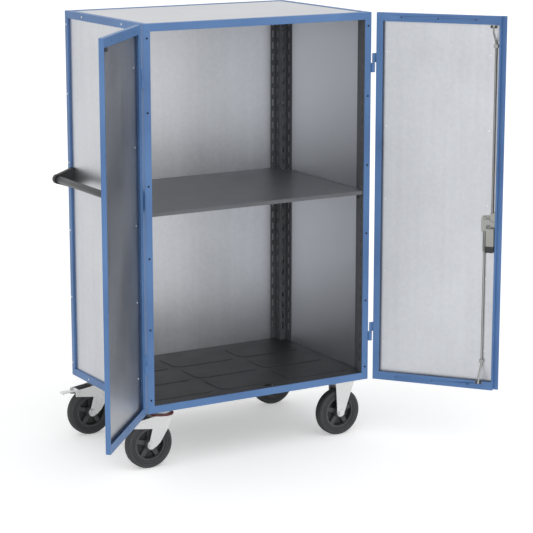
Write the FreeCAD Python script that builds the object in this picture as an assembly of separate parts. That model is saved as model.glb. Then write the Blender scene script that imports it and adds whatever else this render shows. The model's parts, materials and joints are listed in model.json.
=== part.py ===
import FreeCAD, Part
import math
import os

# Cupboard trolley on four castors, in millimetres.
# X runs to the right, Y to the back, Z up. The origin is on the floor under the middle.

# Cupboard
body_width = 1040.0
body_depth = 700.0
body_height = 1540.0
castor_height = 248.0
frame_sheet = 2.0
panel_sheet = 1.0
cut_overrun = 5.0
run_clear = 0.05
part_gap = 1.0

# Folded frame members
rail_height = 30.0
rail_leg = 25.0
post_face = 30.0
post_side = 25.0
lip_width = 9.0

# Rivets
rivet_radius = 4.0
rivet_head = 1.5
post_rivets = 6
post_rivet_inset = 25.0
side_rivet_shares = (0.26, 0.77)

# Floor deck and the bearers that carry the castor plates
deck_sheet = 1.5
pad_count = 3
pad_height = 2.0
pad_gap = 22.0
pad_margin = 36.0
pad_corner = 40.0
bearer_wall = 2.0
bearer_width = 142.0

# Slotted uprights
upright_sheet = 1.5
rear_web_depth = 46.0
rear_web_width = 30.0
rear_back_flange = 22.0
front_web_depth = 32.0
front_web_width = 20.0
upright_flange = 49.0
slot_pitch = 50.0
slot_height = 30.0
slot_width = 8.0
slot_eye_radius = 4.5

# Shelf and its clips
shelf_top = 1052.0
shelf_edge = 15.0
shelf_sheet = 1.5
shelf_clear = 2.0
shelf_setback = 5.0
clip_length = 26.0
clip_depth = 17.0
clip_height = 30.0
clip_sheet = 2.0

# Doors
door_gap = 2.0
door_side_gap = 1.0
left_door_depth = 19.0
right_door_depth = 20.0
door_rail = 35.0
hinge_stile = 28.0
free_return = 6.0
door_lip = 55.0
door_hole_radius = 3.0
door_hole_shares = (0.2, 0.5, 0.8)
door_rivet_inset = 42.0
door_rivets = 5
door_rivet_first_share = 0.105
door_rivet_step_share = 0.198
left_open_deg = 131.7
right_open_deg = 128.4
meeting_lip_half = 19.0

# Lift-off hinges
hinge_out = 10.0
hinge_ahead = 3.0
knuckle_radius = 6.0
knuckle_length = 38.0
knuckle_gap = 2.0
hinge_pin_radius = 4.0
hinge_leaf = 8.0
hinge_tab = 10.0
hinge_shares = (0.1338, 0.8662)

# Catch of the left door
catch_width = 26.0
catch_height = 14.0
catch_proud = 6.0
catch_inset = 8.0

# Lock on the right door
lock_inset = 36.0
lock_height = 950.0
cam_radius = 22.0
cam_sheet = 3.0
cam_arm_half = 8.0
cam_hub_radius = 12.0
cam_pin_radius = 2.5
cam_pin_length = 6.0
cam_rest_deg = 13.5
cam_turn_deg = 64.0
spindle_radius = 6.0
rod_offset = 15.0
rod_radius = 4.0
rod_standoff = 8.0
rod_flat_half = 10.5
rod_flat_length = 60.0
flat_ahead_share = 0.75
rod_flat_sheet = 3.0
rod_slot_length = 15.0
rod_slot_height = 8.0
rod_crank = 43.0
rod_crank_rise = 43.0
rod_tail = 23.0
eye_radius = 5.5
eye_half = 4.0
roller_radius = 6.0
roller_width = 8.0
roller_pin_radius = 2.5
roller_clear = 0.3
pin_cap = 1.5
rail_clear = 4.0
guide_half = 9.0
guide_height = 14.0
guide_cap = 7.0
guide_from_crank = 15.0
case_inset = 10.0
case_width = 31.0
case_height = 72.0
case_depth = 28.0
case_below = 25.0
block_height = 26.0
plate_width = 50.0
plate_sheet = 3.0
plate_above = 27.0
lever_out = 28.0
lever_length = 110.0
lever_radius = 7.0
rose_radius = 16.0
rose_height = 4.0
spindle_hole_radius = 8.0

# Push handle on the left side
handle_height = 1098.0
handle_out = 73.0
handle_radius = 14.5
handle_half_span = 314.0
bracket_width = 22.0
bracket_end_radius = 20.0
bracket_base_half = 42.0
bracket_foot = 9.0
handle_wall = 2.0

# Castors
wheel_radius = 100.0
wheel_width = 46.0
tread_round = 14.0
tyre_groove_radius = 80.0
tyre_groove_width = 3.0
tyre_groove_depth = 2.0
rim_radius = 68.0
rim_hub_radius = 24.0
rim_web = 24.0
rim_plate = 4.0
rim_band = 10.0
rim_spokes = 5
spoke_half = 7.0
tyre_seat = 0.1
rim_setback = 4.0
axle_radius = 10.0
axle_head_radius = 13.0
axle_head = 7.0
castor_side_gap = 5.0
castor_end_gap = 1.0
trail = 60.0
plate_length = 140.0
plate_depth = 108.0
plate_thick = 5.0
bolt_span_x = 105.0
bolt_span_y = 80.0
bolt_radius = 8.0
bolt_head = 6.0
fork_gap = 27.0
fork_sheet = 4.0
crown_thick = 5.0
crown_clear = 27.0
crown_radius = 46.0
boss_radius = 40.0
ring_radius = 50.0
ring_height = 4.0
king_radius = 9.0
king_nut_radius = 14.0
king_nut_height = 8.0
leg_tip_radius = 18.0
fixed_leg_front = 27.0
fixed_leg_rear = 70.0
fixed_edge_gap = 1.0
hex_sides = 6
full_turn_deg = 360.0
fork_leg_shares = ((1.58, 1.0), (1.467, 0.776), (1.333, 0.586), (0.65, 0.052), (0.3, -0.1),
                   (-0.233, -0.03), (0.083, 0.577), (-1.267, 0.672), (-1.267, 0.897), (-0.25, 0.966),
                   (0.167, 1.0))
crown_front_share = 1.58
crown_rear_share = 0.167

# Brake pedals
pedal_pivot_back = 60.0
pedal_pivot_up = 95.0
pedal_pin_radius = 4.0
pedal_length = 68.0
pedal_pin_proud = 2.0
pedal_width = 34.0
pedal_sheet = 3.0
pedal_drop = 6.0
pedal_eye_radius = 9.0
pedal_side_gap = 0.5

# Places that follow from the sizes above
half_width = body_width / 2
half_depth = body_depth / 2
frame_bottom = castor_height - frame_sheet
frame_top = frame_bottom + body_height
post_bottom = frame_bottom + rail_height
post_top = frame_top - rail_height
post_length = post_top - post_bottom
panel_outer = half_width - lip_width
panel_inner = panel_outer - panel_sheet
back_inner = half_depth - frame_sheet - panel_sheet
deck_top = post_bottom + deck_sheet
deck_half_x = panel_inner - upright_sheet - part_gap
deck_half_y = half_depth - rail_leg - part_gap
castor_x = half_width - rail_leg - castor_side_gap - plate_length / 2
castor_y = half_depth - rail_leg - castor_end_gap - plate_depth / 2
fixed_shift = castor_side_gap - fixed_edge_gap
hinge_x = half_width + hinge_out
hinge_y = -half_depth - hinge_ahead
door_inner_y = -half_depth - door_gap
door_edge_x = half_width - door_side_gap
door_width = door_edge_x - door_side_gap
door_bottom = frame_bottom + door_side_gap
door_top = frame_top - door_side_gap
door_height = door_top - door_bottom
lock_face_y = door_inner_y - right_door_depth + frame_sheet + panel_sheet
rod_y = lock_face_y + rod_standoff
roller_y = rod_y + rod_crank
cam_y = rod_y + rod_flat_sheet / 2 + part_gap
cam_rest = math.radians(cam_rest_deg)
cam_end = math.radians(cam_turn_deg - cam_rest_deg)
slot_middle = cam_radius * (1 + math.cos(cam_end)) / 2
upper_roller_z = post_top - rail_clear - roller_radius
lower_roller_z = post_bottom + rail_clear + roller_radius

here = FreeCAD.Vector(0, 0, 0)
across = FreeCAD.Vector(1, 0, 0)
back = FreeCAD.Vector(0, 1, 0)
up = FreeCAD.Vector(0, 0, 1)


def vec(x, y, z):
    return FreeCAD.Vector(x, y, z)


def box(x0, x1, y0, y1, z0, z1):
    low = vec(min(x0, x1), min(y0, y1), min(z0, z1))
    return Part.makeBox(abs(x1 - x0), abs(y1 - y0), abs(z1 - z0), low)


def rod(radius, start, direction, length):
    return Part.makeCylinder(radius, length, start, direction)


def pipe(outer, inner, start, direction, length):
    hole_start = start - direction * cut_overrun
    hole = rod(inner, hole_start, direction, length + 2 * cut_overrun)
    return rod(outer, start, direction, length).cut(hole)


def prism(points, run):
    outline = [vec(*point) for point in points]
    outline.append(outline[0])
    return Part.Face(Part.makePolygon(outline)).extrude(run)


def channel(corner, along_a, along_b, run, leg_a, leg_b, lip):
    # Folded section: a leg, a web and a lip, all in frame sheet.
    sheet = frame_sheet
    outline = ((0, 0), (leg_a, 0), (leg_a, sheet), (sheet, sheet), (sheet, leg_b - sheet),
               (lip, leg_b - sheet), (lip, leg_b), (0, leg_b))
    points = [corner + along_a * a + along_b * b for a, b in outline]
    return prism([(point.x, point.y, point.z) for point in points], run)


def mirror_x(shape):
    return shape.mirror(here, across)


def mirror_y(shape):
    return shape.mirror(here, back)


def save(node, *solids):
    shape = solids[0]
    if len(solids) > 1:
        shape = Part.makeCompound(solids)
    shape.exportStep("parts/" + node + ".step")


def front_rail(level, inward):
    corner = vec(-half_width, -half_depth, level)
    return channel(corner, back, inward, across * body_width, rail_leg, rail_height, rail_leg)


def left_side_rail(level, inward):
    corner = vec(-half_width, -half_depth + rail_leg, level)
    run = back * (body_depth - 2 * rail_leg)
    return channel(corner, across, inward, run, rail_leg, rail_height, lip_width)


def front_left_post():
    corner = vec(-half_width, -half_depth, post_bottom)
    return channel(corner, across, back, up * post_length, post_face, post_side, lip_width)


def build_frame():
    for name, level, inward in (("top", frame_top, -up), ("bottom", frame_bottom, up)):
        front = front_rail(level, inward)
        save(name + "_front_rail", front)
        save(name + "_rear_rail", mirror_y(front))
        side = left_side_rail(level, inward)
        save(name + "_side_rails", side, mirror_x(side))
    post = front_left_post()
    save("front_posts", post, mirror_x(post))
    save("rear_posts", mirror_y(post), mirror_x(mirror_y(post)))


def build_panels():
    side_half = back_inner - part_gap
    side = box(-panel_outer, -panel_inner, -side_half, side_half, post_bottom, post_top)
    save("left_side_panel", side)
    save("right_side_panel", mirror_x(side))
    rear_half = panel_inner - part_gap
    rear_y = back_inner + panel_sheet
    save("rear_panel", box(-rear_half, rear_half, back_inner, rear_y, post_bottom, post_top))
    roof_z = frame_top - frame_sheet
    roof_x = half_width - frame_sheet - part_gap
    roof_y = half_depth - frame_sheet - part_gap
    save("roof_panel", box(-roof_x, roof_x, -roof_y, roof_y, roof_z - panel_sheet, roof_z))


def rivet(point, direction):
    return rod(rivet_radius, point, direction, rivet_head)


def build_frame_rivets():
    heads = []
    pitch = (post_length - 2 * post_rivet_inset) / (post_rivets - 1)
    for step in range(post_rivets):
        level = post_bottom + post_rivet_inset + step * pitch
        for side in (-1, 1):
            front = vec(side * (half_width - post_face / 2), -half_depth, level)
            heads.append(rivet(front, -back))
            rear = vec(side * half_width, half_depth - post_side / 2, level)
            heads.append(rivet(rear, across * side))
    for share in side_rivet_shares:
        for level in (frame_bottom + rail_height / 2, frame_top - rail_height / 2):
            for side in (-1, 1):
                spot = vec(side * half_width, -half_depth + share * body_depth, level)
                heads.append(rivet(spot, across * side))
    save("frame_rivets", *heads)


def rounded_box(x0, x1, y0, y1, z0, z1, radius):
    plain = box(x0, x1, y0, y1, z0, z1)
    corners = [edge for edge in plain.Edges if abs(edge.tangentAt(edge.FirstParameter).z) > 1 / 2]
    return plain.makeFillet(radius, corners)


def lower_notch():
    # Room in the deck's front edge for the rollers of the lower lock rod.
    half = eye_half + roller_width + 2 * rail_clear
    middle = lock_inset + rod_offset
    rear = roller_y + roller_radius + 2 * rail_clear
    return box(middle - half, middle + half, -deck_half_y - cut_overrun, rear,
               castor_height - cut_overrun, deck_top + cut_overrun)


def build_deck():
    rim = box(-deck_half_x, deck_half_x, -deck_half_y, deck_half_y, castor_height, post_bottom)
    inside_x = deck_half_x - deck_sheet
    inside_y = deck_half_y - deck_sheet
    rim = rim.cut(box(-inside_x, inside_x, -inside_y, inside_y,
                      castor_height - cut_overrun, post_bottom + cut_overrun))
    deck_front = -half_depth + frame_sheet
    sheet = prism(inside_outline(deck_front, 0, post_bottom), up * deck_sheet)
    step_x = (2 * (deck_half_x - pad_margin) + pad_gap) / pad_count
    step_y = (2 * (deck_half_y - pad_margin) + pad_gap) / pad_count
    pads = []
    for column in range(pad_count):
        for row in range(pad_count):
            x0 = -deck_half_x + pad_margin + column * step_x
            y0 = -deck_half_y + pad_margin + row * step_y
            pads.append(rounded_box(x0, x0 + step_x - pad_gap, y0, y0 + step_y - pad_gap,
                                    post_bottom, deck_top + pad_height, pad_corner))
    save("floor_deck", sheet.multiFuse([rim] + pads).removeSplitter().cut(lower_notch()))
    bearers = []
    for side in (-1, 1):
        inner = castor_x - bearer_width / 2
        outer = castor_x + bearer_width / 2
        tube = box(side * inner, side * outer, -inside_y, inside_y, castor_height, deck_top - deck_sheet)
        hollow = box(side * (inner + bearer_wall), side * (outer - bearer_wall),
                     -inside_y - cut_overrun, inside_y + cut_overrun,
                     castor_height + bearer_wall, deck_top - deck_sheet - bearer_wall)
        bearers.append(tube.cut(hollow))
    save("castor_bearers", *bearers)


def slot_wire(corner, along, middle, level):
    # Key-hole slot: two round eyes joined by a straight neck.
    neck = slot_width / 2
    eye = slot_height / 2 - slot_eye_radius
    join = eye - math.sqrt(slot_eye_radius ** 2 - neck ** 2)
    tip = slot_height / 2
    outline = ((neck, -join), (neck, join), (0, tip), (-neck, join), (-neck, -join), (0, -tip))
    spots = [corner + along * (middle + a) + up * (level + b) for a, b in outline]
    edges = [Part.LineSegment(spots[0], spots[1]).toShape(),
             Part.Arc(spots[1], spots[2], spots[3]).toShape(),
             Part.LineSegment(spots[3], spots[4]).toShape(),
             Part.Arc(spots[4], spots[5], spots[0]).toShape()]
    return Part.Wire(edges)


def slotted_strip(corner, along, inward, width):
    # Upright strip from the bottom rail to the top rail with one row of slots.
    count = int((post_length - slot_pitch) / slot_pitch)
    first = (post_length - (count - 1) * slot_pitch) / 2
    outline = Part.makePolygon([corner, corner + along * width, corner + along * width + up * post_length,
                                corner + up * post_length, corner])
    wires = [outline]
    for step in range(count):
        wires.append(slot_wire(corner, along, width / 2, first + step * slot_pitch))
    return Part.makeFace(wires, "Part::FaceMakerBullseye").extrude(inward * upright_sheet)


def left_upright(web_x, web_width, start_y, web_depth, to_wall):
    # to_wall points from the slotted corner towards the front or rear wall.
    sheet = upright_sheet
    corner_y = start_y - to_wall.y * web_depth
    web = slotted_strip(vec(web_x, corner_y, post_bottom), to_wall, -across, web_depth)
    inner_width = web_width - sheet
    face = slotted_strip(vec(web_x - web_width, corner_y, post_bottom), across, to_wall, inner_width)
    flange = slotted_strip(vec(-panel_inner, corner_y, post_bottom), -to_wall, across, upright_flange)
    return [web, face, flange]


def build_uprights():
    front_x = -panel_inner + front_web_width
    rear_x = -panel_inner + rear_web_width
    front_y = -half_depth + frame_sheet
    front = left_upright(front_x, front_web_width, front_y, front_web_depth, -back)
    rear = left_upright(rear_x, rear_web_width, back_inner, rear_web_depth, back)
    rear.append(slotted_strip(vec(rear_x, back_inner, post_bottom), across, -back, rear_back_flange))
    left = []
    for strips in (front, rear):
        left.append(strips[0].multiFuse(strips[1:]))
    save("shelf_uprights", *left, *[mirror_x(upright) for upright in left])


def inside_outline(front_y, inset, level):
    # Floor plan of the inside, with room for the four uprights.
    notch_front_y = -half_depth + frame_sheet + front_web_depth + shelf_clear + inset
    notch_rear_y = back_inner - rear_web_depth - shelf_clear - inset
    rear_y = back_inner - upright_sheet - part_gap - inset
    front_x = panel_inner - front_web_width - shelf_clear - inset
    wide_x = panel_inner - upright_sheet - part_gap - inset
    rear_x = panel_inner - rear_web_width - shelf_clear - inset
    right = [(front_x, front_y + inset), (front_x, notch_front_y), (wide_x, notch_front_y),
             (wide_x, notch_rear_y), (rear_x, notch_rear_y), (rear_x, rear_y)]
    left = [(-x, y) for x, y in reversed(right)]
    return [(x, y, level) for x, y in right + left]


def build_shelf():
    bottom = shelf_top - shelf_edge
    shelf_front = -half_depth + shelf_setback
    tray = prism(inside_outline(shelf_front, 0, bottom), up * shelf_edge)
    hollow_depth = shelf_edge - shelf_sheet + cut_overrun
    hollow = prism(inside_outline(shelf_front, shelf_sheet, bottom - cut_overrun), up * hollow_depth)
    save("shelf", tray.cut(hollow))
    front_y = -half_depth + frame_sheet + front_web_depth + upright_flange / 2
    rear_y = back_inner - rear_web_depth - upright_flange / 2
    wall_x = panel_inner - upright_sheet
    clips = []
    for middle in (front_y, rear_y):
        y0 = middle - clip_length / 2
        y1 = middle + clip_length / 2
        ledge = box(wall_x - clip_depth, wall_x, y0, y1, bottom - clip_sheet, bottom)
        leg = box(wall_x - clip_sheet, wall_x, y0, y1, bottom - clip_height, bottom)
        clip = ledge.fuse(leg).removeSplitter()
        clips.append(clip)
        clips.append(mirror_x(clip))
    save("shelf_clips", *clips)


def open_left(shape):
    return shape.rotated(vec(-hinge_x, hinge_y, 0), up, -left_open_deg)


def open_right(shape):
    return shape.rotated(vec(hinge_x, hinge_y, 0), up, right_open_deg)


def door_holes():
    holes = []
    for share in door_hole_shares:
        for level in (door_bottom + door_rail / 2, door_top - door_rail / 2):
            start = vec(-door_edge_x + share * door_width, door_inner_y + cut_overrun, level)
            holes.append(rod(door_hole_radius, start, -back, cut_overrun + 2 * frame_sheet))
    return Part.makeCompound(holes)


def closed_rail(level, inward, depth):
    # Full-width door rail: a channel with a plate over each end.
    edge = -door_edge_x
    corner = vec(edge, door_inner_y, level)
    rail = channel(corner, inward, -back, across * door_width, door_rail, depth, door_rail)
    ends = []
    for x in (edge, edge + door_width - frame_sheet):
        ends.append(box(x, x + frame_sheet, door_inner_y - depth, door_inner_y, level,
                        level + inward.z * door_rail))
    return rail.multiFuse(ends).removeSplitter().cut(door_holes())


def door_members(depth):
    # Closed left-hand door: two full-width rails, the hinge stile and the free stile.
    edge = -door_edge_x
    stile_run = up * (door_height - 2 * door_rail)
    low = door_bottom + door_rail
    hinge = channel(vec(edge, door_inner_y, low), across, -back, stile_run, hinge_stile, depth, door_lip)
    free_corner = vec(edge + door_width, door_inner_y, low)
    free = channel(free_corner, -across, -back, stile_run, free_return, depth, door_lip)
    return [closed_rail(door_top, -up, depth), closed_rail(door_bottom, up, depth), hinge, free]


def door_panel(depth):
    inset = frame_sheet + part_gap
    y0 = door_inner_y - depth + frame_sheet
    return box(-door_edge_x + inset, -door_edge_x + door_width - inset, y0, y0 + panel_sheet,
               door_bottom + inset, door_top - inset)


def door_rivet_levels():
    shares = [door_rivet_first_share + step * door_rivet_step_share for step in range(door_rivets)]
    return [door_bottom + share * door_height for share in shares]


def door_rivet_heads(depth):
    outer_y = door_inner_y - depth
    inner_y = outer_y + frame_sheet + panel_sheet
    heads = []
    for x in (-door_edge_x + door_rivet_inset, -door_edge_x + door_width - door_rivet_inset):
        for level in door_rivet_levels():
            heads.append(rivet(vec(x, inner_y, level), back))
            heads.append(rivet(vec(x, outer_y, level), -back))
    return heads


def hinge_levels():
    return [frame_bottom + share * body_height for share in hinge_shares]


def hinge_pin(level):
    # Fixed lower half: knuckle, leaf on the post and the pin that the door drops onto.
    bottom = level - knuckle_gap / 2 - knuckle_length
    knuckle = rod(knuckle_radius, vec(-hinge_x, hinge_y, bottom), up, knuckle_length)
    pin = rod(hinge_pin_radius, vec(-hinge_x, hinge_y, bottom), up, 2 * knuckle_length + knuckle_gap)
    leaf = box(-hinge_x, -half_width, hinge_y - knuckle_radius / 2, -half_depth + hinge_leaf,
               bottom, bottom + knuckle_length)
    return knuckle.multiFuse([pin, leaf])


def hinge_sleeve(level):
    # Upper half on the door, with the bore that turns on the pin.
    bottom = level + knuckle_gap / 2
    outer = rod(knuckle_radius, vec(-hinge_x, hinge_y, bottom), up, knuckle_length)
    tab_y = hinge_y - knuckle_gap
    tab = box(-hinge_x, -door_edge_x, tab_y - hinge_tab, tab_y, bottom, bottom + knuckle_length)
    bore = rod(hinge_pin_radius + run_clear, vec(-hinge_x, hinge_y, bottom - cut_overrun), up,
               knuckle_length + 2 * cut_overrun)
    return outer.fuse(tab).cut(bore)


def door_catch():
    free_x = -door_edge_x + door_width - catch_inset
    panel_y = door_inner_y - left_door_depth + frame_sheet + panel_sheet
    top = door_top - door_rail
    return box(free_x - catch_width, free_x, panel_y, door_inner_y + catch_proud, top - catch_height, top)


def build_doors():
    sleeves = [hinge_sleeve(level) for level in hinge_levels()]
    pins = [hinge_pin(level) for level in hinge_levels()]
    save("hinge_pins", *pins, *[mirror_x(pin) for pin in pins])
    save("left_door_frame", *[open_left(piece) for piece in door_members(left_door_depth)])
    save("left_door_panel", open_left(door_panel(left_door_depth)))
    save("left_hinge_sleeves", *[open_left(sleeve) for sleeve in sleeves])
    save("left_door_rivets", *[open_left(head) for head in door_rivet_heads(left_door_depth)])
    save("door_catch", open_left(door_catch()))
    hole_start = vec(lock_inset, door_inner_y + cut_overrun, lock_height)
    hole = rod(spindle_hole_radius, hole_start, -back, right_door_depth + 2 * cut_overrun)
    members = [mirror_x(piece).cut(hole) for piece in door_members(right_door_depth)]
    save("right_door_frame", *[open_right(piece) for piece in members])
    save("right_door_panel", open_right(mirror_x(door_panel(right_door_depth)).cut(hole)))
    save("right_hinge_sleeves", *[open_right(mirror_x(sleeve)) for sleeve in sleeves])
    heads = door_rivet_heads(right_door_depth)
    save("right_door_rivets", *[open_right(mirror_x(head)) for head in heads])
    outer_y = door_inner_y - right_door_depth
    lip = box(-meeting_lip_half, meeting_lip_half, outer_y - frame_sheet, outer_y, door_bottom, door_top)
    save("meeting_lip", open_right(lip))


def lock_rod(roller_z):
    # Rod above the pivot: flat slotted end, straight run, crank and the pin of the two rollers.
    pin_z = lock_height - cam_radius * math.sin(cam_rest)
    flat_x = lock_inset - slot_middle
    rod_x = lock_inset - rod_offset
    crank_z = roller_z - rod_tail - rod_crank_rise
    flat_end = pin_z + rod_flat_length * flat_ahead_share
    flat = box(flat_x - rod_flat_half, flat_x + rod_flat_half, rod_y - rod_flat_sheet / 2,
               rod_y + rod_flat_sheet / 2, flat_end - rod_flat_length, flat_end)
    slot = box(flat_x - rod_slot_length / 2, flat_x + rod_slot_length / 2, rod_y - rod_flat_sheet,
               rod_y + rod_flat_sheet, pin_z - rod_slot_height / 2, pin_z + rod_slot_height / 2)
    start = vec(rod_x, rod_y, flat_end - rod_radius)
    bend = vec(rod_x, rod_y, crank_z)
    knee = vec(rod_x, roller_y, crank_z + rod_crank_rise)
    end = vec(rod_x, roller_y, roller_z)
    pin_half = eye_half + roller_width + 2 * roller_clear + pin_cap
    pieces = [rod(rod_radius, start, up, (bend - start).Length),
              Part.makeSphere(rod_radius, bend),
              rod(rod_radius, bend, knee - bend, (knee - bend).Length),
              Part.makeSphere(rod_radius, knee),
              rod(rod_radius, knee, up, rod_tail),
              rod(eye_radius, end - across * eye_half, across, 2 * eye_half),
              rod(roller_pin_radius, end - across * pin_half, across, 2 * pin_half),
              rod(rod_radius, end - across * pin_half, across, pin_cap),
              rod(rod_radius, end + across * (pin_half - pin_cap), across, pin_cap)]
    rollers = []
    for side in (-1, 1):
        near = end + across * (side * (eye_half + roller_clear))
        rollers.append(pipe(roller_radius, roller_pin_radius + run_clear, near, across * side, roller_width))
    return flat.cut(slot).multiFuse(pieces), rollers


def rod_guide(roller_z):
    rod_x = lock_inset - rod_offset
    level = roller_z - rod_tail - rod_crank_rise - guide_from_crank
    block = box(rod_x - guide_half, rod_x + guide_half, lock_face_y, rod_y + guide_cap,
                level - guide_height / 2, level + guide_height / 2)
    bore_start = vec(rod_x, rod_y, level - guide_height)
    return block.cut(rod(rod_radius + run_clear, bore_start, up, 2 * guide_height))


def turned_over(shape):
    # Half a turn about the lock's pivot takes the upper rod to the lower one.
    return shape.rotated(vec(lock_inset, 0, lock_height), back, full_turn_deg / 2)


def lock_cam():
    pivot = vec(lock_inset, cam_y, lock_height)
    arm = box(lock_inset - cam_radius, lock_inset + cam_radius, cam_y, cam_y + cam_sheet,
              lock_height - cam_arm_half, lock_height + cam_arm_half)
    pieces = [rod(cam_hub_radius, pivot, back, cam_sheet)]
    for side in (-1, 1):
        end = pivot + across * (side * cam_radius)
        pieces.append(rod(cam_arm_half, end, back, cam_sheet))
        pieces.append(rod(cam_pin_radius, end + back * cam_sheet, -back, cam_sheet + cam_pin_length))
    return arm.multiFuse(pieces).rotated(pivot, back, -cam_rest_deg)


def lock_handle():
    pivot = vec(lock_inset, cam_y, lock_height)
    lever_y = door_inner_y - right_door_depth - lever_out
    spindle = rod(spindle_radius, pivot, -back, cam_y - lever_y)
    knob = vec(lock_inset, lever_y, lock_height)
    end = knob + across * lever_length
    pieces = [Part.makeSphere(lever_radius, knob), rod(lever_radius, knob, across, lever_length),
              Part.makeSphere(lever_radius, end)]
    return spindle.multiFuse(pieces)


def lock_side_rivets():
    return [(door_side_gap + door_rivet_inset, level) for level in door_rivet_levels()]


def lock_case():
    case_top = lock_height - case_below
    case_bottom = case_top - case_height
    plate = box(case_inset, case_inset + plate_width, lock_face_y, lock_face_y + plate_sheet,
                case_bottom - block_height, lock_height + plate_above)
    bore_start = vec(lock_inset, lock_face_y - cut_overrun, lock_height)
    bore = rod(spindle_radius + run_clear, bore_start, back, plate_sheet + 2 * cut_overrun)
    case = box(case_inset, case_inset + case_width, lock_face_y, lock_face_y + case_depth,
               case_bottom, case_top)
    block = box(case_inset, case_inset + case_width, lock_face_y + plate_sheet, lock_face_y + case_depth,
                case_bottom - block_height, case_bottom)
    rose_start = vec(lock_inset, door_inner_y - right_door_depth, lock_height)
    rose = pipe(rose_radius, spindle_radius + run_clear, rose_start, -back, rose_height)
    # Room for any rivet head of the door that the plate or the case lies over.
    room = [rod(rivet_radius + part_gap, vec(x, lock_face_y, level), back, rivet_head + part_gap)
            for x, level in lock_side_rivets()]
    return plate.cut(bore).fuse(case).cut(Part.makeCompound(room)), block, rose


def build_lock():
    case, block, rose = lock_case()
    save("lock_case", open_right(case), open_right(rose))
    save("lock_block", open_right(block))
    save("lock_cam", open_right(lock_cam()))
    save("lock_handle", open_right(lock_handle()))
    bar, rollers = lock_rod(upper_roller_z)
    save("upper_rod", open_right(bar))
    save("upper_rollers", *[open_right(roller) for roller in rollers])
    mirrored_z = 2 * lock_height - lower_roller_z
    bar, rollers = lock_rod(mirrored_z)
    save("lower_rod", open_right(turned_over(bar)))
    save("lower_rollers", *[open_right(turned_over(roller)) for roller in rollers])
    guides = [rod_guide(upper_roller_z), turned_over(rod_guide(mirrored_z))]
    save("rod_guides", *[open_right(guide) for guide in guides])


def handle_bracket():
    # Tapered arm from the side panel to a round end that holds the tube.
    tube_x = -panel_outer - handle_out
    y0 = handle_half_span - bracket_width / 2
    base = bracket_base_half
    tip = bracket_end_radius
    outline = ((-panel_outer, y0, handle_height - base), (-panel_outer, y0, handle_height + base),
               (-panel_outer - bracket_foot, y0, handle_height + base), (tube_x, y0, handle_height + tip),
               (tube_x, y0, handle_height - tip), (-panel_outer - bracket_foot, y0, handle_height - base))
    arm = prism(outline, back * bracket_width)
    end = rod(tip, vec(tube_x, y0, handle_height), back, bracket_width)
    return arm.fuse(end).removeSplitter()


def build_handle():
    bracket = handle_bracket()
    save("handle_brackets", bracket, mirror_y(bracket))
    tube_x = -panel_outer - handle_out
    half = handle_half_span - bracket_width / 2
    start = vec(tube_x, -half, handle_height)
    save("handle_tube", pipe(handle_radius, handle_radius - handle_wall, start, back, 2 * half))


def tyre():
    width = wheel_width
    start = vec(0, -width / 2, 0)
    blank = rod(wheel_radius, start, back, width)
    edges = [edge for edge in blank.Edges if len(edge.Vertexes) == 1]
    rounded = blank.makeFillet(tread_round, edges)
    hollow = [rod(rim_radius, start - back * cut_overrun, back, width + 2 * cut_overrun)]
    for side in (-1, 1):
        groove_start = vec(0, side * (width / 2 - tyre_groove_depth), 0)
        groove_outer = tyre_groove_radius + tyre_groove_width / 2
        hollow.append(pipe(groove_outer, groove_outer - tyre_groove_width, groove_start, back * side,
                           tyre_groove_depth + cut_overrun))
    return rounded.cut(Part.makeCompound(hollow))


def rim():
    band_half = wheel_width / 2 - rim_setback
    outer = rim_radius - tyre_seat
    band = pipe(outer, outer - rim_band, vec(0, -band_half, 0), back, 2 * band_half)
    hub_half = fork_gap - pedal_side_gap
    hub = rod(rim_hub_radius, vec(0, -hub_half, 0), back, 2 * hub_half)
    spokes = []
    for step in range(rim_spokes):
        bar = box(-spoke_half, spoke_half, -rim_web / 2, rim_web / 2, 0, outer - rim_band / 2)
        spokes.append(bar.rotated(here, back, step * full_turn_deg / rim_spokes))
    plate = rod(outer - rim_band / 2, vec(0, -rim_plate / 2, 0), back, rim_plate)
    bore = rod(axle_radius + run_clear, vec(0, -fork_gap, 0), back, 2 * fork_gap)
    return band.multiFuse([hub, plate] + spokes).cut(bore)


def axle():
    leg_outer = fork_gap + fork_sheet
    bar = rod(axle_radius, vec(0, -leg_outer, 0), back, 2 * leg_outer)
    heads = [rod(axle_head_radius, vec(0, side * leg_outer, 0), back * side, axle_head) for side in (-1, 1)]
    return bar.multiFuse(heads)


def at_wheel(shape, x, y):
    return shape.translated(vec(x, y, wheel_radius))


def leg_pair(outline, holes):
    # Two equal legs, one on each side of the wheel, from points in X and Z.
    legs = []
    for y0 in (fork_gap, -fork_gap - fork_sheet):
        leg = prism([(x, y0, z) for x, z in outline], back * fork_sheet)
        tip = rod(leg_tip_radius, vec(0, y0, 0), back, fork_sheet)
        leg = leg.fuse(tip).removeSplitter()
        for radius, x, z in holes:
            start = vec(x, y0 - cut_overrun, z)
            leg = leg.cut(rod(radius, start, back, fork_sheet + 2 * cut_overrun))
        legs.append(leg)
    return legs


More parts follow.
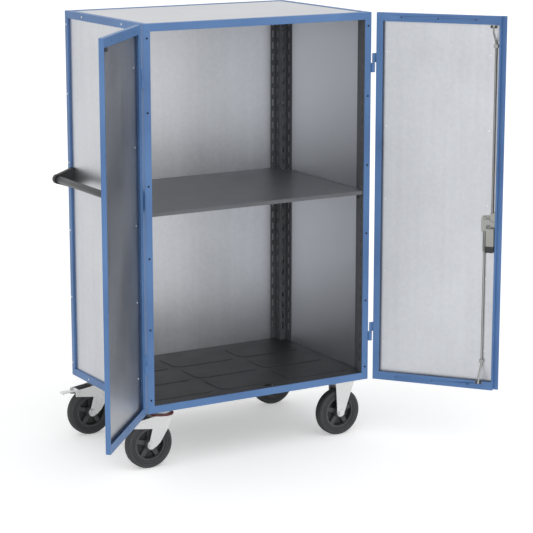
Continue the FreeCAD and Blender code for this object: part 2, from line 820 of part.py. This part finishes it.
def swivel_fork():
    # Drawn with the wheel centre at the origin and the king pin ahead of it.
    crown_top = castor_height - plate_thick - crown_clear - wheel_radius
    outline = [(trail * along, crown_top * rise) for along, rise in fork_leg_shares]
    holes = ((axle_radius, 0, 0),
             (pedal_pin_radius + run_clear, -pedal_pivot_back, pedal_pivot_up))
    legs = leg_pair(outline, holes)
    outer = fork_gap + fork_sheet
    crown = box(trail * crown_rear_share, trail * crown_front_share, -outer, outer,
                crown_top - crown_thick, crown_top)
    hole_start = vec(trail, 0, crown_top - crown_thick - cut_overrun)
    hole = rod(king_radius + run_clear, hole_start, up, crown_thick + 2 * cut_overrun)
    cup = rod(crown_radius, vec(trail, 0, crown_top - crown_thick), up, crown_thick)
    return crown.multiFuse([cup] + legs).removeSplitter().cut(hole)


def brake_pedal():
    pivot = vec(-pedal_pivot_back, 0, pedal_pivot_up)
    half = fork_gap - pedal_side_gap
    pin_half = fork_gap + fork_sheet + pedal_pin_proud
    eye = rod(pedal_eye_radius, pivot - back * half, back, 2 * half)
    pin = rod(pedal_pin_radius, pivot - back * pin_half, back, 2 * pin_half)
    tread_x = pivot.x - pedal_length
    tread = box(tread_x, pivot.x, -pedal_width / 2, pedal_width / 2, pivot.z, pivot.z + pedal_sheet)
    lip = box(tread_x, tread_x + pedal_sheet, -pedal_width / 2, pedal_width / 2,
              pivot.z - pedal_drop, pivot.z + pedal_sheet)
    return eye.multiFuse([pin, tread, lip])


def swivel_plate():
    # Top plate, boss, king pin and the nut under the fork's crown.
    low = castor_height - plate_thick
    plate = box(-plate_length / 2, plate_length / 2, -plate_depth / 2, plate_depth / 2, low, castor_height)
    boss_height = crown_clear - ring_height - part_gap
    boss = rod(boss_radius, vec(0, 0, low), -up, boss_height)
    crown_low = low - crown_clear - crown_thick
    nut_top = crown_low - pedal_side_gap
    king = rod(king_radius, vec(0, 0, nut_top), up, low - nut_top)
    nut = rod(king_nut_radius, vec(0, 0, nut_top), -up, king_nut_height)
    return plate.multiFuse([boss, king, nut])


def dust_ring():
    top = castor_height - plate_thick - crown_clear + ring_height + part_gap
    return pipe(ring_radius, king_radius + run_clear, vec(0, 0, top), -up, ring_height)


def fixed_bracket():
    top = castor_height - plate_thick - wheel_radius
    tip = leg_tip_radius
    outline = ((-fixed_leg_front, top), (fixed_leg_rear, top), (tip, 0), (-tip, 0))
    legs = leg_pair(outline, ((axle_radius, 0, 0),))
    x0 = fixed_shift - plate_length / 2
    plate = box(x0, x0 + plate_length, -plate_depth / 2, plate_depth / 2, top, top + plate_thick)
    return plate.multiFuse(legs)


def plate_bolts(x, y):
    low = castor_height - plate_thick
    heads = []
    for side_x in (-1, 1):
        for side_y in (-1, 1):
            spot = vec(x + side_x * bolt_span_x / 2, y + side_y * bolt_span_y / 2, low)
            corners = []
            for step in range(hex_sides):
                angle = math.radians(step * full_turn_deg / hex_sides)
                corners.append((spot.x + bolt_radius * math.cos(angle),
                                spot.y + bolt_radius * math.sin(angle), low))
            heads.append(prism(corners, -up * bolt_head))
    return heads


def build_castors():
    plates = []
    rings = []
    bolts = []
    brackets = []
    axles = []
    wheel_x = -castor_x - trail
    for row, y in (("front", -castor_y), ("rear", castor_y)):
        plates.append(swivel_plate().translated(vec(-castor_x, y, 0)))
        rings.append(dust_ring().translated(vec(-castor_x, y, 0)))
        bolts += plate_bolts(-castor_x, y) + plate_bolts(castor_x + fixed_shift, y)
        brackets.append(at_wheel(fixed_bracket(), castor_x, y))
        axles.append(at_wheel(axle(), castor_x, y))
        save(row + "_left_fork", at_wheel(swivel_fork(), wheel_x, y))
        save(row + "_left_axle", at_wheel(axle(), wheel_x, y))
        save(row + "_left_pedal", at_wheel(brake_pedal(), wheel_x, y))
        for side, x in (("left", wheel_x), ("right", castor_x)):
            save(row + "_" + side + "_tyre", at_wheel(tyre(), x, y))
            save(row + "_" + side + "_rim", at_wheel(rim(), x, y))
    save("swivel_plates", *plates)
    save("dust_rings", *rings)
    save("castor_bolts", *bolts)
    save("fixed_brackets", *brackets)
    save("fixed_axles", *axles)


def main():
    os.makedirs("parts", exist_ok=True)
    build_frame()
    build_panels()
    build_frame_rivets()
    build_deck()
    build_uprights()
    build_shelf()
    build_doors()
    build_lock()
    build_handle()
    build_castors()


main()
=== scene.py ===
import bpy
import json
import math
import numpy as np
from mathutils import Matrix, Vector


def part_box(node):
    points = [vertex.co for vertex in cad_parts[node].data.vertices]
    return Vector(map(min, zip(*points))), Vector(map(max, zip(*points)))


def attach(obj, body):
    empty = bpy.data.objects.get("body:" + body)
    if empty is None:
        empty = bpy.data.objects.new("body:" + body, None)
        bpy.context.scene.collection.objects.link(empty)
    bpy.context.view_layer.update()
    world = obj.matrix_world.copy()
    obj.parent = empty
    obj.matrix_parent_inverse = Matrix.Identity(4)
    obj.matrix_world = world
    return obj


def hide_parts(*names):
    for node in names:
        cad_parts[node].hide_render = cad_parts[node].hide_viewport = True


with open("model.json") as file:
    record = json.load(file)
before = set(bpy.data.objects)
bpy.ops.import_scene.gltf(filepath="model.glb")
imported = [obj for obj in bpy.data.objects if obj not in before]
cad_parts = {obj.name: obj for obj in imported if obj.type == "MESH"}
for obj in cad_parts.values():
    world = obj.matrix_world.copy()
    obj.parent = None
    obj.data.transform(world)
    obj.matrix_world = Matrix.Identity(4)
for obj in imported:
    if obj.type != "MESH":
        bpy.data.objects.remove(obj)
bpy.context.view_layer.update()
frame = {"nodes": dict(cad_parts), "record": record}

scene = bpy.context.scene
scene.view_settings.view_transform = "Standard"
nodes = frame["nodes"]
noiseLow, noiseMid, noiseHigh = 0.3, 0.5, 0.7  # most values of a noise pattern lie in this span


def linear(hexColour):
    # sRGB hex to linear: c/12.92 below 0.04045, else ((c + 0.055)/1.055)^2.4
    parts = [int(hexColour[i:i + 2], 16) / 255 for i in (1, 3, 5)]
    return tuple(c / 12.92 if c <= 0.04045 else ((c + 0.055) / 1.055) ** 2.4 for c in parts) + (1.0,)


def grey(value):
    return (value, value, value, 1.0)


def perMetre(millimetres):
    return 1000.0 / millimetres


def metres(millimetres):
    return millimetres / 1000.0


def addNode(tree, kind, values=None, links=None, stops=None, **settings):
    # values and links go by socket, a link is (node, output), and stops are a ramp's (position, colour)
    node = tree.nodes.new(kind)
    for name, value in settings.items():
        setattr(node, name, value)
    for socket, value in (values or {}).items():
        node.inputs[socket].default_value = value
    for socket, (source, output) in (links or {}).items():
        tree.links.new(source.outputs[output], node.inputs[socket])
    if stops:
        points = node.color_ramp.elements
        points[0].position, points[0].color = stops[0]
        points[1].position, points[1].color = stops[-1]
        for position, colour in stops[1:-1]:
            points.new(position).color = colour
    return node


def newMaterial(name, values):
    material = bpy.data.materials.new(name)
    material.use_nodes = True
    tree = material.node_tree
    shader = tree.nodes["Principled BSDF"]
    for socket, value in values.items():
        shader.inputs[socket].default_value = value
    return material, tree, shader


def wireShader(tree, shader, tone, gloss, bump):
    tree.links.new(tone.outputs["Color"], shader.inputs["Base Color"])
    tree.links.new(gloss.outputs["Color"], shader.inputs["Roughness"])
    tree.links.new(bump.outputs["Normal"], shader.inputs["Normal"])


bluePaint = {"light": "#577EB0", "mid": "#4F75A7", "deep": "#476B9D", "cloudMm": 320, "peelMm": 3.5,
             "roughLeast": 0.36, "roughMost": 0.5, "peelHeightMm": 0.3, "peelStrength": 0.12}


def bluePowderCoat():
    # Polyester powder coat on folded steel: satin, with a faint orange peel and slow shifts of tone.
    # The peel is about 1 mm on the real coat, and is drawn at 3.5 mm so that it shows.
    s = bluePaint
    material, tree, shader = newMaterial("bluePowderCoatedSteel", {"IOR": 1.5})
    place = addNode(tree, "ShaderNodeTexCoord")
    cloud = addNode(tree, "ShaderNodeTexNoise", {"Scale": perMetre(s["cloudMm"]), "Detail": 3.0},
                    {"Vector": (place, "Object")})
    peel = addNode(tree, "ShaderNodeTexNoise", {"Scale": perMetre(s["peelMm"]), "Detail": 2.0},
                   {"Vector": (place, "Object")})
    tone = addNode(tree, "ShaderNodeValToRGB", links={"Fac": (cloud, "Fac")},
                   stops=[(noiseLow, linear(s["deep"])), (noiseMid, linear(s["mid"])),
                          (noiseHigh, linear(s["light"]))])
    gloss = addNode(tree, "ShaderNodeValToRGB", links={"Fac": (peel, "Fac")},
                    stops=[(noiseLow, grey(s["roughLeast"])), (noiseHigh, grey(s["roughMost"]))])
    bump = addNode(tree, "ShaderNodeBump",
                   {"Strength": s["peelStrength"], "Distance": metres(s["peelHeightMm"])},
                   {"Height": (peel, "Fac")})
    wireShader(tree, shader, tone, gloss, bump)
    return material


zincSheet = {"light": "#CACCD0", "mid": "#C1C3C7", "deep": "#B7B9BE", "cloudMm": 420, "streakMm": 30,
             "streakSquash": 0.03, "streakShare": 0.3, "spangleMm": 14, "spangleShare": 0.1,
             "roughLeast": 0.32, "roughMost": 0.42, "streakHeightMm": 0.4, "streakStrength": 0.05}


def galvanisedSheet(name):
    # Hot-dip galvanised sheet, skin-passed: dull metal with faint spangles and rolling streaks up the sheet.
    s = zincSheet
    material, tree, shader = newMaterial(name, {"Metallic": 1.0})
    place = addNode(tree, "ShaderNodeTexCoord")
    spangle = addNode(tree, "ShaderNodeTexVoronoi", {"Scale": perMetre(s["spangleMm"])},
                      {"Vector": (place, "Object")})
    stretch = addNode(tree, "ShaderNodeMapping", {"Scale": (1.0, 1.0, s["streakSquash"])},
                      {"Vector": (place, "Object")})
    streak = addNode(tree, "ShaderNodeTexNoise", {"Scale": perMetre(s["streakMm"]), "Detail": 4.0},
                     {"Vector": (stretch, "Vector")})
    cloud = addNode(tree, "ShaderNodeTexNoise", {"Scale": perMetre(s["cloudMm"]), "Detail": 2.0},
                    {"Vector": (place, "Object")})
    cell = addNode(tree, "ShaderNodeSeparateColor", links={"Color": (spangle, "Color")})
    streaked = addNode(tree, "ShaderNodeMix", {"Factor": s["streakShare"]},
                       {"A": (cloud, "Fac"), "B": (streak, "Fac")})
    pattern = addNode(tree, "ShaderNodeMix", {"Factor": s["spangleShare"]},
                      {"A": (streaked, "Result"), "B": (cell, "Red")})
    tone = addNode(tree, "ShaderNodeValToRGB", links={"Fac": (pattern, "Result")},
                   stops=[(noiseLow, linear(s["deep"])), (noiseMid, linear(s["mid"])),
                          (noiseHigh, linear(s["light"]))])
    gloss = addNode(tree, "ShaderNodeValToRGB", links={"Fac": (pattern, "Result")},
                    stops=[(noiseLow, grey(s["roughLeast"])), (noiseHigh, grey(s["roughMost"]))])
    bump = addNode(tree, "ShaderNodeBump",
                   {"Strength": s["streakStrength"], "Distance": metres(s["streakHeightMm"])},
                   {"Height": (streak, "Fac")})
    wireShader(tree, shader, tone, gloss, bump)
    return material


speckle = {"cloudTimes": 40, "toneLow": 0.32, "toneHigh": 0.68, "roughLess": 0.06, "roughMore": 0.08}


def speckled(name, light, deep, grainMm, roughness, metallic=0.0, bumpMm=0.2, bumpStrength=0.2):
    # A coat or moulding whose tone and gloss vary with one fine grain and one slow cloud.
    s = speckle
    material, tree, shader = newMaterial(name, {"Metallic": metallic})
    place = addNode(tree, "ShaderNodeTexCoord")
    grain = addNode(tree, "ShaderNodeTexNoise", {"Scale": perMetre(grainMm), "Detail": 4.0},
                    {"Vector": (place, "Object")})
    cloud = addNode(tree, "ShaderNodeTexNoise", {"Scale": perMetre(s["cloudTimes"] * grainMm), "Detail": 3.0},
                    {"Vector": (place, "Object")})
    pattern = addNode(tree, "ShaderNodeMix", {"Factor": 0.5}, {"A": (grain, "Fac"), "B": (cloud, "Fac")})
    tone = addNode(tree, "ShaderNodeValToRGB", links={"Fac": (pattern, "Result")},
                   stops=[(s["toneLow"], linear(deep)), (s["toneHigh"], linear(light))])
    gloss = addNode(tree, "ShaderNodeValToRGB", links={"Fac": (pattern, "Result")},
                    stops=[(noiseLow, grey(roughness - s["roughLess"])),
                           (noiseHigh, grey(roughness + s["roughMore"]))])
    bump = addNode(tree, "ShaderNodeBump", {"Strength": bumpStrength, "Distance": metres(bumpMm)},
                   {"Height": (grain, "Fac")})
    wireShader(tree, shader, tone, gloss, bump)
    return material


def tintBase(material, factor, output, hexColour):
    # moves the base colour towards hexColour by a 0..1 factor
    tree = material.node_tree
    shader = tree.nodes["Principled BSDF"]
    plain = shader.inputs["Base Color"].links[0].from_node
    colourA, colourB, colourResult = 6, 7, 2  # the mix node's colour sockets share their names with others
    tone = addNode(tree, "ShaderNodeMix", {colourB: linear(hexColour)},
                   {"Factor": (factor, output), colourA: (plain, "Color")}, data_type="RGBA")
    tree.links.new(tone.outputs[colourResult], shader.inputs["Base Color"])
    return material


def paintShadeByAttribute(material, hexColour):
    # painted shade: the base colour darkens where the mesh attribute from gridMesh is high, which is in
    # grooves and pockets, and on the tyre's tread
    paintedShadeAttribute = addNode(material.node_tree, "ShaderNodeAttribute", attribute_name="paintedShade")
    return tintBase(material, paintedShadeAttribute, "Fac", hexColour)


def tintBelow(material, axis, limit, share, hexColour):
    # moves the base colour by share towards hexColour where one Object coordinate is below a limit
    tree = material.node_tree
    place = addNode(tree, "ShaderNodeTexCoord")
    parts = addNode(tree, "ShaderNodeSeparateXYZ", links={"Vector": (place, "Object")})
    below = addNode(tree, "ShaderNodeMath", {1: limit}, {0: (parts, axis)}, operation="LESS_THAN")
    part = addNode(tree, "ShaderNodeMath", {1: share}, {0: (below, "Value")}, operation="MULTIPLY")
    return tintBase(material, part, "Value", hexColour)


finishes = {
    "blue_paint": bluePowderCoat(),
    "galvanised_sheet": galvanisedSheet("galvanisedSheetSteel"),
    # epoxy powder coat on shelf steel: dark, fine texture, satin
    "charcoal_paint": speckled("charcoalPowderCoat", "#626468", "#525458", grainMm=2.5, roughness=0.42),
    # bright zinc plate on pressed steel: pale metal with cloudy passivation
    "zinc_steel": speckled("brightZincPlate", "#DEDEDC", "#C8C9CA", grainMm=5.0, roughness=0.3, metallic=0.9,
                           bumpMm=0.1, bumpStrength=0.1),
    # die-cast lock case: sprayed light grey
    "lock_grey": speckled("sprayedDieCast", "#A9A9A5", "#96968F", grainMm=2.0, roughness=0.4),
    # glass-filled nylon: near black, matt, fine spark texture
    "black_plastic": speckled("blackNylon", "#2E2F31", "#1F2022", grainMm=1.5, roughness=0.5),
    # powder-coated tube: near black, satin
    "black_tube": speckled("blackCoatedTube", "#313235", "#242527", grainMm=2.0, roughness=0.38),
    # moulded seal: dark red
    "dust_ring_red": speckled("redSealRing", "#7A2A2C", "#5C1D20", grainMm=2.0, roughness=0.5),
    # solid rubber: grey black, matt, a little dusty, with painted shade in its grooves, and darker on its
    # tread
    "grey_rubber": paintShadeByAttribute(speckled("solidRubber", "#4E4F51", "#3B3C3E", grainMm=3.0, roughness=0.7),
                            "#151516"),
    # moulded polypropylene: black, slight sheen, with painted shade in its pockets
    "rim_plastic": paintShadeByAttribute(speckled("blackPolypropylene", "#454648", "#343537", grainMm=2.0, roughness=0.45),
                            "#0C0C0D"),
}

rivet = {"light": "#DEDEDC", "deep": "#C8C9CA", "frontDark": "#23262C", "frontY": -0.3495}
# painted light: the pale tone and share that brighten the right wall's inner face
paintedLightFace = {"tone": "#E4E6EA", "share": 0.85}


def rivetSteel():
    # Blind rivets: bright zinc, but darker on the front posts, which lie below frontY.
    zinc = speckled("rivetSteel", rivet["light"], rivet["deep"], grainMm=5.0, roughness=0.32, metallic=0.8,
                    bumpMm=0.1, bumpStrength=0.1)
    return tintBelow(zinc, "Y", rivet["frontY"], 1.0, rivet["frontDark"])


def sheetWithPaintedLight():
    # The right wall's sheet: as the others outside, with painted light on its inner face, which is tinted
    # brighter.
    low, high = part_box("right_side_panel")
    middle = (low[0] + high[0]) / 2
    return tintBelow(galvanisedSheet("sheetWithPaintedLight"), "X", middle, paintedLightFace["share"], paintedLightFace["tone"])


# powder coat as on the shelf, darkened as painted shade for the deck and the shelf clips, which lie in the
# cabinet's shade
paintedShadeCoat = speckled("powderCoatPaintedShade", "#333437", "#28292B", grainMm=2.5, roughness=0.5)
# thin zinc on drawn bar: grey metal, dull
dullSteel = speckled("dullZincSteel", "#A6A7A4", "#8C8D8A", grainMm=4.0, roughness=0.36, metallic=0.9,
                     bumpMm=0.1, bumpStrength=0.1)

# nodes whose finish isn't the one of their slot
dress = {"floor_deck": paintedShadeCoat, "shelf_clips": paintedShadeCoat, "upper_rod": dullSteel, "lower_rod": dullSteel,
         "lock_cam": dullSteel, "rod_guides": dullSteel, "frame_rivets": rivetSteel(),
         "right_side_panel": sheetWithPaintedLight()}
print("finishes", len(finishes))


def dressNodes():
    for entry in frame["record"]["subparts"]:
        piece = nodes[entry["node"]]
        piece.data.materials.clear()
        piece.data.materials.append(dress.get(entry["node"], finishes[entry["material_slot"]]))


dressNodes()
print("dressed nodes", len(nodes))

edge = {"sheetMm": 0.7, "rivetMm": 1.1, "castMm": 1.2, "foldDeg": 40, "steps": 2, "weldMm": 0.01,
        "rivets": ("frame_rivets", "left_door_rivets", "right_door_rivets", "castor_bolts"),
        "cast": ("lock_case", "lock_block", "lock_handle", "handle_brackets", "floor_deck", "door_catch"),
        "plain": ("shelf_uprights", "upper_rollers", "lower_rollers", "hinge_pins", "dust_rings",
                  "left_door_frame"),
        "plainEnds": ("_tyre", "_rim", "_panel")}


def edgeMm(name):
    if name in edge["rivets"]:
        return edge["rivetMm"]
    if name in edge["cast"]:
        return edge["castMm"]
    return edge["sheetMm"]


def softenEdges():
    # a weld joins a node's loose triangles, and a bevel then rounds each edge sharper than the fold angle
    for name, piece in nodes.items():
        if name in edge["plain"] or name.endswith(edge["plainEnds"]):
            continue
        weld = piece.modifiers.new("weld", "WELD")
        weld.merge_threshold = metres(edge["weldMm"])
        bevel = piece.modifiers.new("softEdge", "BEVEL")
        bevel.width = metres(edgeMm(name))
        bevel.segments = edge["steps"]
        bevel.limit_method = "ANGLE"
        bevel.angle_limit = math.radians(edge["foldDeg"])


softenEdges()
print("edges softened")

# radii, half widths along the axle and edge rounding of the wheels, in metres
wheel = {"names": ("front_left", "rear_left", "front_right", "rear_right"), "smoothDeg": 38,
         "seat": 0.0681, "shoulder": 0.014, "rings": (0.0725, 0.0795, 0.0865), "ringDepth": 0.0022,
         "ringWide": 0.0018, "treadTone": 0.75, "sideSteps": 70, "turnSteps": 14, "tyreSteps": 160,
         "bore": 0.01005, "hub": 0.024, "bandIn": 0.0585, "rimOut": 0.0678, "plateHalf": 0.002,
         "webHalf": 0.012, "bandHalf": 0.019, "spokes": 5, "spokeHalf": 0.0105, "round": 0.0012,
         "flatSteps": 5, "roundSteps": 7, "spokeSteps": 22, "rimSteps": 300}


def gridMesh(name, points, paintedShade, finish):
    # points is (rows, columns, 3), closed both ways: each face joins a point to its next row and next column
    rows, columns = points.shape[:2]
    index = np.arange(rows * columns).reshape(rows, columns)
    nextRow, nextColumn = np.roll(index, -1, 0), np.roll(index, -1, 1)
    quads = np.stack([index, nextRow, np.roll(nextRow, -1, 1), nextColumn], -1).reshape(-1, 4)
    mesh = bpy.data.meshes.new(name)
    mesh.from_pydata(points.reshape(-1, 3).tolist(), [], quads.tolist())
    mesh.polygons.foreach_set("use_smooth", np.ones(len(quads), bool))
    mesh.set_sharp_from_angle(angle=math.radians(wheel["smoothDeg"]))
    # painted shade: a 0 to 1 value per point, and the wheel finishes darken where it is high
    paintedShadeAttribute = mesh.attributes.new("paintedShade", "FLOAT", "POINT")
    paintedShadeAttribute.data.foreach_set("value", np.broadcast_to(paintedShade, (rows, columns)).ravel())
    mesh.materials.append(finishes[finish])
    piece = bpy.data.objects.new(name, mesh)
    scene.collection.objects.link(piece)
    return piece


def blendUp(low, high, value):
    # 0 below low, 1 above high, 3t^2 - 2t^3 between
    t = np.clip((value - low) / (high - low), 0.0, 1.0)
    return t * t * (3.0 - 2.0 * t)


def turned(radius, along, centre, steps):
    # profile (radius, along) carried once round the wheel's axis, which runs along Y through centre
    angle = np.linspace(0.0, 2.0 * math.pi, steps, endpoint=False)[:, None]
    radius = np.broadcast_to(radius, (steps, radius.shape[-1]))
    along = np.broadcast_to(along, (steps, along.shape[-1]))
    return np.stack([radius * np.cos(angle), along, radius * np.sin(angle)], -1) + np.array(centre)


def makeTyre(name):
    # half profile: flat side with ring grooves of exp(-d^2), a quarter arc up to the tread, then mirrored
    s = wheel
    low, high = (np.array(c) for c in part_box(name + "_tyre"))
    outer, half = (high[2] - low[2]) / 2, (high[1] - low[1]) / 2
    side = np.linspace(s["seat"], outer - s["shoulder"], s["sideSteps"])
    sink = sum(s["ringDepth"] * np.exp(-((side - ring) / s["ringWide"]) ** 2) for ring in s["rings"])
    turn = np.linspace(0.0, math.pi / 2, s["turnSteps"])[1:]
    radius = np.concatenate([side, outer - s["shoulder"] + s["shoulder"] * np.sin(turn)])
    along = np.concatenate([half - sink, half - s["shoulder"] + s["shoulder"] * np.cos(turn)])
    # painted shade in the ring grooves; the same value also darkens the tread towards its crown
    paintedShade = np.concatenate([sink / s["ringDepth"], s["treadTone"] * np.sin(turn)])
    radius = np.concatenate([radius, radius[::-1]])
    along = np.concatenate([along, -along[::-1]])
    paintedShade = np.concatenate([paintedShade, paintedShade[::-1]])
    points = turned(radius, along, (low + high) / 2, s["tyreSteps"])
    return gridMesh(name + "RubberTyre", points, paintedShade, "grey_rubber")


def makeRim(name):
    # face height over (radius, angle): the highest of the hub, the web plate, the spokes and the outer band
    s = wheel
    low, high = (np.array(c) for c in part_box(name + "_rim"))
    hubHalf, soft = (high[1] - low[1]) / 2, s["round"]
    hubStart, hubEnd = s["hub"] - soft, s["hub"] + soft
    bandStart, bandEnd = s["bandIn"] - soft, s["bandIn"] + soft
    radius = np.concatenate([np.linspace(s["bore"], hubStart, s["flatSteps"])[:-1],
                             np.linspace(hubStart, hubEnd, s["roundSteps"]),
                             np.linspace(hubEnd, bandStart, s["spokeSteps"])[1:-1],
                             np.linspace(bandStart, bandEnd, s["roundSteps"]),
                             np.linspace(bandEnd, s["rimOut"], s["flatSteps"])[1:]])
    angle = np.linspace(0.0, 2.0 * math.pi, s["rimSteps"], endpoint=False)[:, None]
    pitch = 2.0 * math.pi / s["spokes"]
    off = radius * np.abs(np.sin((angle - math.pi / 2 + pitch / 2) % pitch - pitch / 2))
    onSpoke = 1.0 - blendUp(s["spokeHalf"] - soft, s["spokeHalf"] + soft, off)
    spoke = s["plateHalf"] + (s["webHalf"] - s["plateHalf"]) * onSpoke
    hub = hubHalf * (1.0 - blendUp(hubStart, hubEnd, radius))
    band = s["bandHalf"] * blendUp(bandStart, bandEnd, radius)
    height = np.maximum(np.maximum(hub, band), spoke)
    # painted shade in the pockets, where the face sinks between the spokes
    paintedShade = 1.0 - blendUp(s["plateHalf"] + soft, s["webHalf"] - soft, height)
    radius = np.concatenate([radius, radius[::-1]])
    along = np.concatenate([height, -height[:, ::-1]], 1)
    paintedShade = np.concatenate([paintedShade, paintedShade[:, ::-1]], 1)
    points = turned(radius, along, (low + high) / 2, s["rimSteps"])
    return gridMesh(name + "MouldedRim", points, paintedShade, "rim_plastic")


for name in wheel["names"]:
    for piece, node in ((makeTyre(name), name + "_tyre"), (makeRim(name), name + "_rim")):
        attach(piece, name + "_wheel")
        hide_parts(node)
print("wheels", len(wheel["names"]))

# the plates' clearances and thickness, in metres
cap = {"rails": ("top_front_rail", "top_rear_rail", "bottom_front_rail", "bottom_rear_rail"), "wall": 0.0022,
       "thick": 0.0015, "open": 0.001, "edge": 0.0004}


def makeRailCap(rail, side):
    # a thin plate in the open end of a folded rail, inside its walls
    low, high = (np.array(c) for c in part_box(rail))
    toWall = np.sign(low[1] + high[1])
    depths = np.abs([low[1], high[1]])
    near = np.array([side * high[0], toWall * (depths.min() + cap["open"]), low[2] + cap["wall"]])
    far = np.array([side * (high[0] - cap["thick"]), toWall * (depths.max() - cap["wall"]),
                    high[2] - cap["wall"]])
    pick = np.array([(0, 0, 0), (1, 0, 0), (1, 1, 0), (0, 1, 0), (0, 0, 1), (1, 0, 1), (1, 1, 1), (0, 1, 1)])
    corners = np.minimum(near, far) + pick * np.abs(far - near)
    faces = [(0, 3, 2, 1), (4, 5, 6, 7), (0, 1, 5, 4), (1, 2, 6, 5), (2, 3, 7, 6), (3, 0, 4, 7)]
    mesh = bpy.data.meshes.new("railCap")
    mesh.from_pydata(corners.tolist(), [], faces)
    mesh.materials.append(finishes["blue_paint"])
    piece = bpy.data.objects.new(rail + ("LeftCap" if side < 0 else "RightCap"), mesh)
    scene.collection.objects.link(piece)
    bevel = piece.modifiers.new("softEdge", "BEVEL")
    bevel.width = cap["edge"]
    bevel.segments = edge["steps"]
    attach(piece, "cabinet")


for rail in cap["rails"]:
    makeRailCap(rail, -1)
    makeRailCap(rail, 1)
print("rail caps", 2 * len(cap["rails"]))

studio = {"worldLevel": 0.6, "keyLevel": 1.15, "keyFrom": (-0.6, -0.8, 0.7), "fillLevel": 0.7,
          "fillFrom": (0.35, -1.0, 0.3), "softDeg": 110, "floor": "#F2F2F2", "floorRough": 0.9,
          "floorGlow": 0.32, "floorHalf": 90.0}


def seenRays(tree):
    # 1 for rays that the camera, a reflection or a clear material sends, else 0
    path = addNode(tree, "ShaderNodeLightPath")
    two = addNode(tree, "ShaderNodeMath", links={0: (path, "Is Camera Ray"), 1: (path, "Is Glossy Ray")},
                  operation="MAXIMUM")
    return addNode(tree, "ShaderNodeMath", links={0: (two, "Value"), 1: (path, "Is Transmission Ray")},
                   operation="MAXIMUM")


def lightStudio():
    s = studio
    world = bpy.data.worlds.new("studio")
    scene.world = world
    world.use_nodes = True
    tree = world.node_tree
    sky = tree.nodes["Background"]
    sky.inputs["Color"].default_value = grey(1.0)
    strength = addNode(tree, "ShaderNodeMapRange", {"To Min": s["worldLevel"], "To Max": 1.0},
                       {"Value": (seenRays(tree), "Value")})
    tree.links.new(strength.outputs["Result"], sky.inputs["Strength"])
    for name, level, aim in (("key", s["keyLevel"], s["keyFrom"]), ("fill", s["fillLevel"], s["fillFrom"])):
        lamp = bpy.data.lights.new(name, "SUN")
        lamp.energy = level
        lamp.angle = math.radians(s["softDeg"])
        holder = bpy.data.objects.new(name, lamp)
        holder.rotation_euler = Vector(aim).to_track_quat("Z", "Y").to_euler()
        scene.collection.objects.link(holder)


def layFloor():
    s = studio
    half = s["floorHalf"]
    mesh = bpy.data.meshes.new("floor")
    corners = [(-half, -half, 0.0), (half, -half, 0.0), (half, half, 0.0), (-half, half, 0.0)]
    mesh.from_pydata(corners, [], [(0, 1, 2, 3)])
    # matt white paper that glows a little where it is seen, so that it meets the white surroundings
    material, tree, shader = newMaterial("studioFloor", {"Roughness": s["floorRough"],
                                                         "Base Color": linear(s["floor"]),
                                                         "Emission Color": grey(1.0)})
    glow = addNode(tree, "ShaderNodeMath", {1: s["floorGlow"]}, {0: (seenRays(tree), "Value")},
                   operation="MULTIPLY")
    tree.links.new(glow.outputs["Value"], shader.inputs["Emission Strength"])
    mesh.materials.append(material)
    floor = bpy.data.objects.new("floor", mesh)
    scene.collection.objects.link(floor)


lightStudio()
layFloor()

view = {"place": (-3.969, -7.087, 2.490), "heading": (0.5099, 0.8602), "pitchDeg": 12.28, "lensMm": 134.16,
        "sensorMm": 36.0}


def placeCamera():
    lens = bpy.data.cameras.new("photoCamera")
    lens.lens = view["lensMm"]
    lens.sensor_width = view["sensorMm"]
    camera = bpy.data.objects.new("photoCamera", lens)
    pitch = math.radians(view["pitchDeg"])
    level = math.cos(pitch)
    ahead = Vector((view["heading"][0] * level, view["heading"][1] * level, -math.sin(pitch)))
    camera.location = view["place"]
    camera.rotation_euler = ahead.to_track_quat("-Z", "Y").to_euler()
    scene.collection.objects.link(camera)
    scene.camera = camera


placeCamera()
print("studio and camera")
